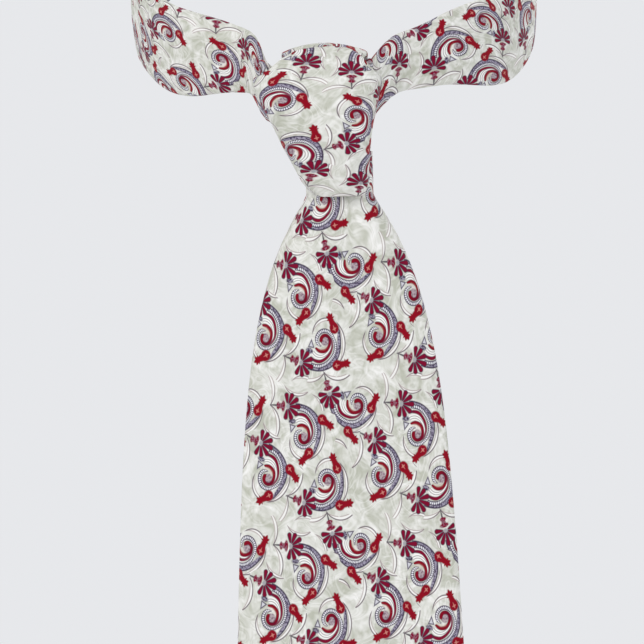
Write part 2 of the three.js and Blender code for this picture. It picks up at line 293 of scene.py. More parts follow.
def paint_leaves(g, place, colour):
    """Crescent leaves round the motif, dark along their outer edges except above it."""
    leaves = (                  # two points, and how far the outer and inner edges rise
        ((-16.8, 0.3), (-13.0, 29.5), 7.6, 4.6), ((-23.8, -28.0), (-17.0, -0.8), 6.4, 3.6),
        ((37.0, 14.0), (25.5, 41.5), 5.8, 3.2), ((21.5, 42.0), (3.5, 28.0), 6.6, 4.2),
        ((20.0, -13.0), (-3.0, -15.5), 5.4, 3.2), ((47.0, 4.0), (37.0, -10.0), 3.6, 1.4),
    )
    _, y, _ = g.split(place)
    bodies, edges = [], []
    for start, tip, outer, inner in leaves:
        beyond = outside_arc(g, place, start, tip, outer)
        leaf = g.most(beyond, outside_arc(g, place, start, tip, inner) * -1)
        bodies.append(leaf)
        edges.append(g.most(abs(beyond) - 0.4, leaf - 0.4))
    body = g.least(*bodies)
    colour = g.ink(colour, CREAM, body - 0.3, 0.6, 0.85)
    colour = g.ink(colour, LEAF_RIM, abs(body) - 0.3, 0.4, 0.85)
    return g.ink(colour, LEAF_LINE, g.least(*edges), 0.4, g.inside(y * -0.16 - 2.0, 1.2) * 0.9)


def paint_curl(g, place, colour, grain):
    """Paisley curl, made of spiral strokes round one middle."""
    x, y, _ = g.split(g.vector("SUBTRACT", place, (*CURL, 0)))
    radius = g.length(x, y)
    degrees = g.math("ARCTAN2", y, x) * (180 / math.pi)
    mottle = g.inside(grain * 9 - 4.7, 0.8)

    # Outer slate rim, which ends at the second bud.
    share, rim, offset = stroke(g, radius, degrees, 250, (
        (250, 28.0), (256, 27.0), (265, 25.3), (277, 23.4), (292, 21.2), (310, 19.3), (332, 17.1),
        (345, 15.9), (368, 14.4), (385, 14.2), (398, 14.8), (410, 16.2), (420, 17.6), (610, 17.6)), (
        (250, 0.4), (265, 1.0), (277, 1.5), (292, 2.0), (310, 2.2), (332, 1.9), (368, 1.7), (385, 1.6),
        (398, 1.4), (410, 0.9), (418, 0.0), (610, 0.0)))
    rim = g.most(rim, (share - 0.468) * 60)
    colour = g.ink(colour, g.mix(mottle, SLATE, LAVENDER), rim - 0.2, 0.5)
    rim_edge = g.most(rim * -1 - 0.7, offset * -1)
    colour = g.ink(colour, OUTLINE, rim_edge, 0.4, g.inside(rim - 0.3, 0.5))

    # Beaded band inside it, which winds right round the curl.
    share, band, offset = stroke(g, radius, degrees, 250, (
        (250, 23.8), (270, 21.7), (285, 19.4), (300, 17.2), (315, 15.4), (330, 13.9), (345, 12.4),
        (360, 11.1), (375, 10.0), (392, 8.9), (420, 8.4), (500, 8.5), (545, 8.4), (570, 7.8), (590, 6.7),
        (610, 5.6)), (
        (250, 1.0), (262, 1.5), (300, 1.4), (345, 1.4), (365, 1.3), (392, 1.0), (420, 1.2), (450, 1.4),
        (520, 1.5), (560, 1.2), (590, 0.7), (610, 0.1)))
    count = g.curve(share, [(0, 0), (0.1, 0.17), (0.2, 0.34), (0.3, 0.47), (0.4, 0.56), (1, 1)]) * 42
    from_bead = abs(g.math("WRAP", count, 0.5, -0.5)) * 2.0
    bead = g.inside(g.length(from_bead / 0.68, offset) * 0.9 - 0.95, 0.35)
    colour = g.ink(colour, OUTLINE, band - 0.35)
    colour = g.ink(colour, g.mix(bead, SLATE, BEAD), band)

    # Pale stripes between the two red arms, with two thin grey lines.
    _, arm, offset = stroke(g, radius, degrees, 235, (
        (235, 14.8), (250, 14.6), (270, 13.2), (285, 11.7), (300, 10.2), (315, 8.8), (330, 7.9), (360, 6.8),
        (595, 6.8)), (
        (235, 1.2), (250, 2.6), (270, 2.6), (300, 1.9), (330, 1.0), (350, 0.3), (365, 0.0), (595, 0.0)))
    colour = g.ink(colour, CREAM, arm, 0.5)
    colour = g.ink(colour, STRIPE_GREY, g.most(abs(abs(offset) - 1.0) - 0.3, arm), 0.35, 0.85)

    # Long arc from the palmette into the ring.
    share, arc, _ = stroke(g, radius, degrees, 240, (
        (240, 19.9), (247, 19.5), (258, 18.7), (270, 17.6), (285, 15.2), (300, 12.9), (315, 11.2),
        (330, 9.8), (345, 8.6), (360, 7.6), (380, 6.8), (410, 6.1), (600, 6.0)), (
        (240, 0.5), (247, 0.9), (258, 1.2), (275, 1.4), (300, 1.2), (330, 0.9), (360, 0.8), (395, 0.6),
        (415, 0.0), (600, 0.0)))
    arc_colour = g.ink(PETAL, FADED_ROSE, share * -30 + 7.5, 2.0, 0.6)
    arc_colour = g.ink(arc_colour, OUTLINE, share * 60 - 2.2, 1.5, 0.6)
    colour = g.ink(colour, OUTLINE, arc - 0.35, 0.3, 0.7)
    colour = g.ink(colour, arc_colour, arc)

    # Centre and the red spiral round it.
    colour = g.ink(colour, g.mix(mottle, EYE_MAUVE, EYE_GREY), radius - 4.0, 0.6)
    share, ring, offset = stroke(g, radius, degrees, 228, (
        (228, 10.9), (240, 10.3), (256, 9.7), (270, 8.9), (285, 8.2), (300, 7.4), (330, 5.9), (360, 5.1),
        (420, 4.8), (480, 4.5), (540, 4.0), (588, 3.6)), (
        (228, 0.3), (236, 1.0), (256, 1.4), (275, 1.6), (300, 1.6), (330, 1.4), (420, 1.3), (480, 1.4),
        (525, 1.6), (550, 1.5), (570, 0.9), (584, 0.0), (588, 0.0)))
    red = g.ink(g.mix(0.35, BUD_RED, DEEP_RED), DEEP_RED, abs(share - 0.52) * 12 - 1.7, 1.0)
    speckle = g.inside(share * 30 - 7.0, 1.5) * g.inside(grain * -9 + 4.2, 1.0) * 0.3
    red = g.ink(red, ORANGE, offset * 1.2 + 0.25, 0.5, speckle)
    colour = g.ink(colour, OUTLINE, ring - 0.3, 0.3, 0.75)
    colour = g.ink(colour, red, ring)
    return g.ink(colour, GLOW, abs(offset + 2.2) - 1.0, 0.6, g.inside(share * 30 - 6.5, 1.0) * 0.35)


def paint_palmette(g, place, colour, grain):
    """Fan of seven petals round a hub, on a calyx and stem, with a floret and a barb below."""
    x, y, _ = g.split(place)
    radius = g.length(x, y)
    spacing = math.radians(33.3)
    angle = g.math("ARCTAN2", y, x)
    petal = g.clamp(g.math("ROUND", angle / spacing), -3, 3)
    aside = angle - petal * spacing
    petals = petal_shape(g, radius * g.math("COSINE", aside), radius * g.math("SINE", aside), abs(petal))

    speckled = g.ink(LAVENDER, OUTLINE, grain * -7 + 3.4, 0.8)
    colour = g.ink(colour, speckled, oval(g, x - 5.2, y - 12.0, 3.6, 2.2, 2.6), 0.6)
    barb = g.most((x - 3.0) * -0.98 + (y - 14.0) * 0.18, (x - 3.0) * 0.2 - (y - 14.6),
                  (x - 8.6) * 0.78 + (y - 15.6) * 0.62)
    colour = g.ink(colour, SLATE, barb - 0.35)
    colour = g.ink(colour, BARB_GREY, barb + 0.55)
    colour = g.ink(colour, MAUVE, radius - 6.5, 2.2, g.inside(x * -1 - 1.0, 1.0) * 0.6)
    colour = g.ink(colour, OUTLINE, petals - 0.6, 0.4)
    colour = g.ink(colour, PETAL, petals, 0.4)

    colour = g.ink(colour, STEM_GREY, capsule(g, x * -1 - 10.0, y + 0.3, 0.0, 8.5, 0.95, 0.3))
    colour = g.ink(colour, CALYX_ROSE, oval(g, x + 6.8, y, 2.4, 2.3, 2.2), 0.5)
    speckled = g.ink(MAUVE, PETAL, grain * 8 - 4.6, 0.8)
    for centre, half_x, half_y in ((-4.4, 1.9, 4.6), (-9.5, 1.7, 3.2)):
        colour = g.ink(colour, speckled, oval(g, x - centre, y, half_x, half_y, half_x))
    return g.ink(colour, HUB_GREY, radius - 1.5, 0.6)


def petal_shape(g, along, across, outward):
    """Signed distance to a drop-shaped petal; the outer petals are shorter and narrower."""
    end = outward * -0.6 + 10.9
    start = outward * 0.2 + 2.6
    spine = g.clamp(along, start, end)
    half = g.math("POWER", (spine - start) / (end - start), 0.7) * (outward * -0.05 + 1.5) + 0.25
    return g.length(along - spine, across) - half


def paint_buds(g, place, colour):
    """Two pomegranate buds, each with a crown of small spikes and a star in its heart."""
    first, second = (turned(g, g.vector("SUBTRACT", place, (*centre, 0)), -math.radians(degrees))
                     for centre, degrees in (((35.2, 9.4), 29.0), ((22.7, 37.3), 134.0)))
    nearer = g.math("LESS_THAN", g.vector("LENGTH", second), g.vector("LENGTH", first))
    x, y, _ = g.split(g.mix(nearer, first, second, kind="VECTOR"))
    spikes = g.math("COSINE", g.math("ARCTAN2", y, x - 7.6) * 9.0) * 0.6
    bud = g.least(oval(g, x, y, 4.8, 4.3, 4.5), capsule(g, x, y, 2.0, 8.0, 3.0, 2.2),
                  g.length((x - 9.2) * 0.85, y) - spikes - 3.1)
    colour = g.ink(colour, DEEP_RED, bud - 0.45, 0.4, 0.5)
    colour = g.ink(colour, BUD_RED, bud, 0.4)
    heart = oval(g, x + 0.3, y, 3.0, 2.3, 2.6)
    colour = g.ink(colour, DEEP_RED, abs(heart) - 0.25, 0.35, 0.6)
    return g.ink(colour, SPARK, g.most(abs(y * (x + 0.8)) - 0.5, heart + 0.4), 0.4, 0.7)


def print_colour(g, cloth):
    """Colour of the printed cloth, from the place on it in metres."""
    place, cloth_mm = motif_plane(g, cloth)
    grain = g.noise(cloth_mm, 0.55 / UNIT)
    colour = paint_leaves(g, place, paint_ground(g, cloth_mm))
    colour = paint_curl(g, place, colour, grain)
    colour = paint_palmette(g, place, colour, grain)
    return paint_buds(g, place, colour)


# ---- places and sizes, from the frame -----------------------------------------------
KNOT_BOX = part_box("knot_front_wrap")
BLADE_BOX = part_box("front_blade_shell")
TAIL_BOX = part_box("tail_shell")
BAND_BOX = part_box("neck_gusset_shell")
KEEPER_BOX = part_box("keeper_loop")
LABEL_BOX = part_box("blank_label")

MOUTH_Z = round(KNOT_BOX[0].z, 3)                       # lower edge of the knot
BLADE_LENGTH = MOUTH_Z - BLADE_BOX[0].z
BLADE_Y = (BLADE_BOX[0].y + BLADE_BOX[1].y) / 2
BLADE_WIDEST = BLADE_BOX[1].x
TAIL_LENGTH = MOUTH_Z - TAIL_BOX[0].z
TAIL_Y = (TAIL_BOX[0].y + TAIL_BOX[1].y) / 2
TAIL_WIDEST = TAIL_BOX[1].x
LOOP_HALF_WIDTH = 62 * MM
LOOP_HALF_DEPTH = BAND_BOX[1].y - 1.7 * MM


# ---- camera, lights and floor -------------------------------------------------------
CAMERA_DISTANCE = 1.7
VIEW_WIDTH = 193.2 * MM         # how much the camera takes in at the front of the blade
VIEW_MIDDLE = (-6.3 * MM, MOUTH_Z - 37.1 * MM)
LEAN = math.radians(1.37)       # roll of the camera, because the worn tie leans
SENSOR_WIDTH = 36               # mm
LIT = (0, 0, -0.2)              # place that every light faces
LIGHTS = (                      # name, place, size, watts, colour
    ("key", (-0.9, -1.5, 0.9), 1.1, 12, (1.0, 0.985, 0.96)),
    ("fill", (1.4, -1.1, 0.0), 1.4, 3, (0.94, 0.97, 1.0)),
    ("back", (0.5, 1.5, 0.7), 1.3, 12, (1.0, 1.0, 1.0)),
)
ROOM_COLOUR, ROOM_STRENGTH = (0.84, 0.85, 0.875, 1), 0.95
FLOOR_COLOURS = ((0.82, 0.82, 0.83, 1), (0.86, 0.86, 0.87, 1))
FLOOR_REACH, FLOOR_SIDES, FLOOR_GAP = 3.0, 96, 0.02


def add_object(name, data):
    made = bpy.data.objects.new(name, data)
    bpy.context.scene.collection.objects.link(made)
    return made


def add_camera():
    data = bpy.data.cameras.new("camera")
    data.sensor_width = SENSOR_WIDTH
    data.lens = SENSOR_WIDTH * CAMERA_DISTANCE / VIEW_WIDTH
    camera = add_object("camera", data)
    place = Vector((VIEW_MIDDLE[0], BLADE_BOX[0].y - CAMERA_DISTANCE, VIEW_MIDDLE[1]))
    turn = Matrix.Rotation(LEAN, 4, "Y") @ Matrix.Rotation(math.pi / 2, 4, "X")
    camera.matrix_world = Matrix.Translation(place) @ turn
    bpy.context.scene.camera = camera


def add_lights():
    world = bpy.data.worlds.new("pale_room")
    world.use_nodes = True
    background = world.node_tree.nodes["Background"]
    background.inputs["Color"].default_value = ROOM_COLOUR
    background.inputs["Strength"].default_value = ROOM_STRENGTH
    bpy.context.scene.world = world
    bpy.context.scene.view_settings.view_transform = "Standard"
    for name, place, size, watts, colour in LIGHTS:
        data = bpy.data.lights.new(name, "AREA")
        data.size = size
        data.energy = watts
        data.color = colour
        light = add_object(name, data)
        light.location = place
        light.rotation_euler = (Vector(LIT) - Vector(place)).to_track_quat("-Z", "Y").to_euler()


def add_floor():
    """Round pale floor a little below the point of the blade."""
    mesh = bpy.data.meshes.new("floor")
    directions = [2 * math.pi * i / FLOOR_SIDES for i in range(FLOOR_SIDES)]
    level = BLADE_BOX[0].z - FLOOR_GAP
    rim = [(FLOOR_REACH * math.cos(t), FLOOR_REACH * math.sin(t), level) for t in directions]
    mesh.from_pydata(rim, [], [tuple(range(FLOOR_SIDES))])
    material, g = new_material("pale_floor")
    shade = g.noise(g.node("ShaderNodeTexCoord").outputs["Object"], 40.0)
    finish_material(material, g, g.mix(shade, *FLOOR_COLOURS), roughness=0.9)
    mesh.materials.append(material)
    add_object("floor", mesh)


# ---- materials ----------------------------------------------------------------------
RELIEF_DEPTH = 0.1 * MM


def finish_material(material, g, colour, height=None, relief=0.0, **settings):
    """Principled finish; settings are the shader's own even values."""
    shader = g.node("ShaderNodeBsdfPrincipled", {"Base Color": colour})
    for name, value in settings.items():
        shader.inputs[name.replace("_", " ").title().replace("Ior", "IOR")].default_value = value
    if height is not None:
        raised = g.node("ShaderNodeBump", {"Strength": relief, "Distance": RELIEF_DEPTH, "Height": height})
        g.feed(shader.inputs["Normal"], raised.outputs["Normal"])
    output = g.node("ShaderNodeOutputMaterial")
    g.feed(output.inputs["Surface"], shader.outputs[0])
    return material


def weave(g, cloth, pitch, slant):
    """Height of a twill or plain weave: ribs at a slant, crossed by finer threads."""
    x, y, _ = g.split(cloth)
    rib = g.math("SINE", (x + y * slant) * (2 * math.pi / pitch))
    cross = g.math("SINE", (y - x * slant * 0.5) * (2 * math.pi / (pitch * 0.45)))
    slub = g.noise(g.vector("MULTIPLY", cloth, (1, 0.12, 1)), 1 / (pitch * 3), 2.0)
    return rib * 0.5 + cross * 0.22 + slub * 0.9


def cloth_place(g):
    """Place on the flat cloth, in metres."""
    return g.node("ShaderNodeUVMap", uv_map="print").outputs["UV"]


def make_print_silk():
    material, g = new_material("printed_silk_look")
    cloth = cloth_place(g)
    colour = print_colour(g, cloth)
    height = weave(g, cloth, pitch=0.42 * MM, slant=1.0)
    # painted shade: the print is darker in the low parts of the weave and lighter on its raised threads
    painted_weave_shade = g.mix(height * 0.10 + 0.40, (0.955, 0.955, 0.955, 1), (1, 1, 1, 1))
    colour = g.mix(1.0, colour, painted_weave_shade, blend="MULTIPLY")
    return finish_material(material, g, colour, height, 0.3, roughness=0.6, specular_ior_level=0.10,
                           sheen_weight=0.02, sheen_roughness=0.4)


def make_cloth(name, light, dark, pitch, slant, relief, **settings):
    """Plain woven cloth in two tones, mixed by uneven wear and by painted shade that darkens the low parts
    of its weave.
    """
    material, g = new_material(name)
    cloth = cloth_place(g)
    height = weave(g, cloth, pitch, slant)
    wear = g.noise(cloth, 60.0, 3.0)
    # painted shade in the low parts of the weave, plus uneven tone from the wear noise
    shade = g.clamp(height * 0.3 + wear * 0.7, 0.0, 1.0)
    return finish_material(material, g, g.mix(shade, dark, light), height, relief, **settings)


PRINT_SILK = make_print_silk()
WOOL = make_cloth("interlining_wool_look", srgb(226, 220, 204), srgb(196, 188, 168),
                  pitch=0.9 * MM, slant=0.0, relief=0.6, roughness=0.95)
SATIN = make_cloth("tipping_satin_look", srgb(128, 18, 40), srgb(92, 8, 26),
                   pitch=0.35 * MM, slant=0.3, relief=0.12, roughness=0.34, sheen_weight=0.2)
THREAD = make_cloth("silk_thread_look", srgb(226, 220, 206), srgb(176, 168, 152),
                    pitch=0.5 * MM, slant=1.0, relief=0.5, roughness=0.5)
LABEL = make_cloth("label_satin_look", srgb(48, 50, 66), srgb(26, 27, 40),
                   pitch=0.4 * MM, slant=0.0, relief=0.3, roughness=0.4)


# ---- cloth helpers ------------------------------------------------------------------
def mesh_object(name, points, faces, cloth_points, material):
    """Smooth mesh object; cloth_points gives each point's place on the flat cloth."""
    mesh = bpy.data.meshes.new(name)
    mesh.from_pydata(points, [], faces)
    layer = mesh.uv_layers.new(name="print")
    for loop in mesh.loops:
        layer.data[loop.index].uv = cloth_points[loop.vertex_index]
    mesh.shade_smooth()
    mesh.materials.append(material)
    return add_object(name, mesh)


def grid_faces(rows, columns, closed=False):
    """Quads of a grid of points, row by row; closed joins the last column to the first."""
    faces = []
    for row in range(rows - 1):
        for column in range(columns if closed else columns - 1):
            a = row * columns + column
            b = row * columns + (column + 1) % columns
            faces.append((a, a + columns, b + columns, b))
    return faces


def thicken(piece, thickness):
    """Gives a single layer of cloth its thickness, inwards, and makes the result its mesh."""
    solid = piece.modifiers.new("thickness", "SOLIDIFY")
    solid.thickness = thickness
    solid.offset = -1
    solid.use_quality_normals = True
    bpy.context.view_layer.update()
    shaped = piece.evaluated_get(bpy.context.evaluated_depsgraph_get())
    final = bpy.data.meshes.new_from_object(shaped)
    final.shade_smooth()
    piece.modifiers.clear()
    piece.data = final
    return piece


class Strip:
    """A strip of cloth folded round to meet at a seam behind.

    middle(a, b) is its middle surface: a runs across it from -1 to 1 and b along it from 0 to 1.
    half(a, b) is half of its padded thickness. The front faces along the product of +b and +a.
    """

    def __init__(self, middle, half, along=None, origin=0.0):
        self.middle = middle
        self.half = half
        self.along = along or self.measured(origin)     # distance along the cloth, at b

    def measured(self, origin, steps=160):
        """Distance along the middle line, counted from its place at b = origin."""
        total = distances([self.middle(0, t) for t in shares(steps)])

        def at(b):
            spot = min(max(b, 0), 1) * steps
            i = min(int(spot), steps - 1)
            return lerp(total[i], total[i + 1], spot - i)

        start = at(origin)
        return lambda b: at(b) - start

    def frame(self, a, b):
        """Place on the middle surface, the way across it, and the way its front faces."""
        step = 1e-3
        across = (self.middle(a + step, b) - self.middle(a - step, b)).normalized()
        along = self.middle(a, b + step) - self.middle(a, b - step)
        normal = along.cross(across).normalized()
        return self.middle(a, b), across, normal

    def front(self, a, b):
        place, _, normal = self.frame(a, b)
        return place + normal * self.half(a, b)

    def back(self, a, b, lift=0.0):
        place, _, normal = self.frame(a, b)
        return place - normal * (self.half(a, b) + lift)

    def rolled(self, side, turn, b):
        """Point on the rounded edge: side is -1 or 1, turn runs from 0 at the front to pi behind."""
        place, across, normal = self.frame(side, b)
        return place + (normal * math.cos(turn) + across * side * math.sin(turn)) * self.half(side, b)


FRONT_COLUMNS = 30
FLAP_COLUMNS = 12
ROLL_COLUMNS = 6
SEAM_DIP = 0.7 * MM
LEAST_AREA = 0.301              # smallest share of its rectangle that a sheet may be cut to


def folded_shell(name, strip, rows, seam, place_on_cloth, thickness=0.55 * MM):
    """The folded silk of a strip. seam(b) is where its back flaps end, as a share of the half width."""
    points, cloth, widths = [], [], []
    face = [-math.cos(math.pi * i / FRONT_COLUMNS) * 0.35 + (2 * i / FRONT_COLUMNS - 1) * 0.65
            for i in range(FRONT_COLUMNS + 1)]
    for b in rows:
        inner = seam(b)
        flap = [inner + (1 - inner) * (i / FLAP_COLUMNS) ** 0.8 for i in range(FLAP_COLUMNS)]
        left, right = ([strip.back(side * a, b, -SEAM_DIP * bump(a, inner, 0.05)) for a in flap]
                       for side in (-1, 1))
        row = left + [strip.rolled(-1, math.pi * (1 - i / ROLL_COLUMNS), b) for i in range(ROLL_COLUMNS)]
        row += [strip.front(a, b) for a in face]
        row += [strip.rolled(1, math.pi * (i + 1) / ROLL_COLUMNS, b) for i in range(ROLL_COLUMNS)]
        row += reversed(right)
        across = distances(row)
        centre = across[len(row) // 2]
        points += row
        cloth += [place_on_cloth(s - centre, strip.along(b), b) for s in across]
        widths.append(across[-1])
    shell = mesh_object(name, points, grid_faces(len(rows), len(points) // len(rows)), cloth, PRINT_SILK)
    declare_cloth(shell, rows, strip, widths)
    return thicken(shell, thickness)


FILLING_COLUMNS = 17


def filling(name, strip, rows, thickness, material, width, offset=0.0):
    """A flat layer inside a strip, such as its interlining; offset is towards the front."""
    points, cloth, widths = [], [], []
    for b in rows:
        row = []
        for t in shares(FILLING_COLUMNS - 1):
            a = (2 * t - 1) * width
            place, _, normal = strip.frame(a, b)
            row.append(place + normal * (offset + thickness / 2))
            cloth.append((a * 0.04, strip.along(b)))
        widths.append(distances(row)[-1])
        points += row
    layer = mesh_object(name, points, grid_faces(len(rows), FILLING_COLUMNS), cloth, material)
    declare_cloth(layer, rows, strip, widths)
    return thicken(layer, thickness)


def declare_cloth(piece, rows, strip, widths):
    """Works out a strip's area against the size it was cut to; the result is not kept."""
    size = (max(widths), abs(strip.along(rows[-1]) - strip.along(rows[0])))
    whole = size[0] * size[1]
    area = sum(polygon.area for polygon in piece.data.polygons)
    min(max(area, LEAST_AREA * whole), whole)


THREAD_SIDES = 8
SEAM_THREAD = 0.22 * MM         # radius


def thread_tube(name, points, radius):
    """A round silk thread through a row of points, with closed ends."""
    places = smooth_line(points, 4)
    ring_points, cloth = [], []
    for i, (place, length) in enumerate(zip(places, distances(places))):
        ahead = (places[min(i + 1, len(places) - 1)] - places[max(i - 1, 0)]).normalized()
        side = ahead.cross(Vector((0.3, 1, 0.2))).normalized()
        up = side.cross(ahead)
        end = 0.55 if i in (0, len(places) - 1) else 1.0
        for k in range(THREAD_SIDES):
            turn = 2 * math.pi * k / THREAD_SIDES
            ring_points.append(place + (side * math.cos(turn) + up * math.sin(turn)) * radius * end)
            cloth.append((k / THREAD_SIDES * radius * 6, length))
    faces = grid_faces(len(places), THREAD_SIDES, closed=True)
    last = len(ring_points) - THREAD_SIDES
    faces += [tuple(range(THREAD_SIDES)), tuple(last + k for k in reversed(range(THREAD_SIDES)))]
    return mesh_object(name, ring_points, faces, cloth, THREAD)


def shares(count):
    """Even shares from 0 to 1."""
    return [i / count for i in range(count + 1)]


def distances(points):
    """Distance to each point along a row of points."""
    total = [0.0]
    for p, q in zip(points, points[1:]):
        total.append(total[-1] + (q - p).length)
    return total


def along_line(line, share):
    """Place at a share of the way along a row of points."""
    spot = share * (len(line) - 1)
    i = min(max(int(spot), 0), len(line) - 2)
    return line[i].lerp(line[i + 1], spot - i)


def smooth_line(points, parts):
    """Catmull-Rom line through points."""
    line = []
    last = len(points) - 1
    for i in range(last):
        p0, p1, p2, p3 = points[max(i - 1, 0)], points[i], points[i + 1], points[min(i + 2, last)]
        for k in range(parts):
            t = k / parts
            line.append(0.5 * (2 * p1 + (p2 - p0) * t + (2 * p0 - 5 * p1 + 4 * p2 - p3) * t * t
                               + (3 * p1 - p0 - 3 * p2 + p3) * t ** 3))
    return line + [points[-1].copy()]


def ripple(x, y, size, seed):
    """Soft unevenness of lying cloth, about -1 to 1."""
    return noise.noise(Vector((x / size, y / size, seed)))


def smooth_step(value, low, high):
    t = min(max((value - low) / (high - low), 0), 1)
    return t * t * (3 - 2 * t)


def lerp(a, b, t):
    return a + (b - a) * t


def bump(value, middle, width):
    return math.exp(-((value - middle) / width) ** 2)


# ---- hanging ends: the front blade and the tail --------------------------------------
EDGE_TURN = math.radians(80)    # of the rolled edges from the middle
TIP_END = 0.35 * MM             # how far the cloth ends above the point
CUP_FADE = 26 * MM              # depth over which an end flattens below the knot
TIP_ROWS = 30
STITCH_PITCH = 7 * MM


class HangingEnd:
    """Shape of the blade or the tail; depths are metres below the mouth of the knot."""

    def __init__(self, y, length, widest, padding, hem, chord, cup, first_depth, seed, folds=()):
        self.y = y
        self.length = length
        self.widest = widest    # half of the greatest width
        self.padding = padding  # thickness at the middle
        self.hem = hem          # width of the turned edge round the tipping
        self.chord = chord      # half width at a depth
        self.cup = cup          # how far the edges curve back at the mouth, and everywhere
        self.first_depth = first_depth
        self.seed = seed
        self.folds = folds      # (x at the mouth, spread, width, rise) of soft folds
        self.shoulder = length - widest

    def depth(self, b):
        return lerp(self.first_depth, self.length - TIP_END, b)

    def share(self, depth):
        return (depth - self.first_depth) / (self.length - TIP_END - self.first_depth)

    def half_width(self, depth):
        """Half of the width seen from the front."""
        if depth > self.shoulder:
            return max(self.length - depth, 0.2 * MM)
        return min(self.chord(max(depth, 0)), self.widest)

    def thickness(self, a, depth):
        near_tip = smooth_step(self.length - depth, 0, 30 * MM)
        edge = 1 - 0.30 * abs(a) ** 5
        return self.padding / 2 * edge * (0.55 + 0.45 * near_tip)

    def middle(self, a, b):
        depth = self.depth(b)
        half = max(self.half_width(depth) - self.thickness(1, depth), 0.05 * MM)
        below = max(depth, 0)
        mouth = math.exp(-(below / CUP_FADE) ** 1.3)
        cup = min(self.cup[0] * mouth + self.cup[1], half * 0.9)
        turn = a * EDGE_TURN
        x = half * math.sin(turn) / math.sin(EDGE_TURN)
        y = self.y + (1 - math.cos(turn)) / (1 - math.cos(EDGE_TURN)) * cup - cup * 0.45 * (1 - mouth)
        for at_mouth, spread, width, rise in self.folds:
            fade = math.exp(-below / (30 * MM))
            y += rise * fade * bump(x, at_mouth + spread * below, width + 0.05 * below)
        y += 0.55 * MM * ripple(x, depth, 45 * MM, self.seed) * smooth_step(depth, 0, 40 * MM)
        y += 0.22 * MM * ripple(x * 1.7, depth, 14 * MM, self.seed + 5)
        return Vector((x, y, MOUTH_Z - depth))

    def strip(self):
        return Strip(self.middle, lambda a, b: self.thickness(a, self.depth(b)), self.depth)

    def rows(self, count):
        """Shares along the strip, closer together near the knot and at the point."""
        shoulder = (self.shoulder - self.first_depth) / (self.length - self.first_depth)
        upper = [shoulder * (i / count) ** 1.25 for i in range(count)]
        point = [lerp(shoulder, 1, t ** 0.9) for t in shares(TIP_ROWS)]
        return upper + [shoulder - 1e-4] + point

    def apex(self):
        """Depth where the back edges part above the tipping."""
        return self.shoulder - (self.widest - self.hem) * 1.5

    def seam(self, b):
        """Where the back flaps end, as a share of the half width."""
        depth = self.depth(b)
        half = self.half_width(depth)
        gap = 0.6 * MM
        apex = self.apex()
        if depth < apex:
            opening = gap
        elif depth < self.shoulder:
            opening = lerp(gap, self.widest - self.hem, (depth - apex) / (self.shoulder - apex))
        else:
            opening = max(half - self.hem * math.sqrt(2), 0.3 * MM)
        share = min(opening / half, 0.97)
        return math.asin(share * math.sin(EDGE_TURN)) / EDGE_TURN

    def at(self, x, depth, lift=0.0):
        """Place on the back, x to the side."""
        across = x / (self.half_width(depth) - self.thickness(1, depth))
        a = math.asin(across * math.sin(EDGE_TURN)) / EDGE_TURN
        return self.strip().back(a, self.share(depth), lift)

    def build(self, name, place_on_cloth, count, tipping_height):
        """Its silk, interlining, tipping, seam thread and bar tack."""
        strip = self.strip()
        rows = self.rows(count)

        def mitred(across, depth, b):
            """Below the shoulders the cloth is turned over the slanting edges."""
            beyond = abs(across) - self.half_width(depth)
            if depth < self.shoulder or beyond < 0:
                return place_on_cloth(across, depth, b)
            return place_on_cloth(math.copysign(self.half_width(depth), across), depth + beyond, b)

        shell = folded_shell(f"{name}_silk", strip, rows, self.seam, mitred)
        inner_rows = [b for b in rows if self.length - self.depth(b) > 3 * MM]
        wool = filling(f"{name}_interlining_wool", strip, inner_rows, self.padding * 0.34, WOOL,
                       width=0.93, offset=0.2 * MM)
        tip_rows = [b for b in inner_rows if self.length - self.depth(b) < tipping_height]
        tipping = filling(f"{name}_tipping_satin", strip, tip_rows, 0.35 * MM, SATIN,
                          width=0.95, offset=-self.padding * 0.20)
        stitches = []
        depth, side = self.first_depth + 22 * MM, 1.5 * MM
        while depth < self.apex() - 6 * MM:
            stitches.append(self.at(side, depth, 0.1 * MM))
            depth += STITCH_PITCH
            side = -side
        seam_thread = thread_tube(f"{name}_seam_thread", stitches, SEAM_THREAD)
        return shell, wool, tipping, seam_thread, self.bar_tack(f"{name}_tack")

    def bar_tack(self, name):
        """Close satin stitches across the foot of the seam."""
        points, reach = [], 4.6 * MM
        for i, t in enumerate(shares(32)):
            depth = self.apex() - 1.5 * MM + (1.1 if i % 2 else -1.1) * MM
            points.append(self.at(lerp(-reach, reach, t), depth, 0.35 * MM))
        return thread_tube(name, points, 0.28 * MM)


def blade_chord(depth):
    """Half width of the blade, narrow in the mouth of the knot and opening out below it."""
    mm = depth / MM
    return 0.5 * (59 + 0.07 * mm) * (1 - 0.655 * math.exp(-mm / 27.5)) * MM


def tail_chord(depth):
    """Half width of the tail, which opens out the same way."""
    mm = depth / MM
    return 0.5 * (22.6 + 0.078 * mm) * (1 - 0.38 * math.exp(-mm / 16)) * MM


BLADE = HangingEnd(
    y=BLADE_Y, length=BLADE_LENGTH, widest=BLADE_WIDEST, padding=4.0 * MM, hem=11 * MM,
    chord=blade_chord, cup=(5.5 * MM, 1.1 * MM), first_depth=-14 * MM, seed=3.1,
    folds=((2.0 * MM, 0.07, 2.0 * MM, 1.3 * MM), (-3.6 * MM, -0.12, 2.2 * MM, -0.6 * MM),
           (6.4 * MM, 0.26, 2.0 * MM, -0.6 * MM)))
TAIL = HangingEnd(
    y=TAIL_Y, length=TAIL_LENGTH, widest=TAIL_WIDEST, padding=3.1 * MM, hem=8 * MM,
    chord=tail_chord, cup=(0.4 * MM, 0.5 * MM), first_depth=30 * MM, seed=8.4)

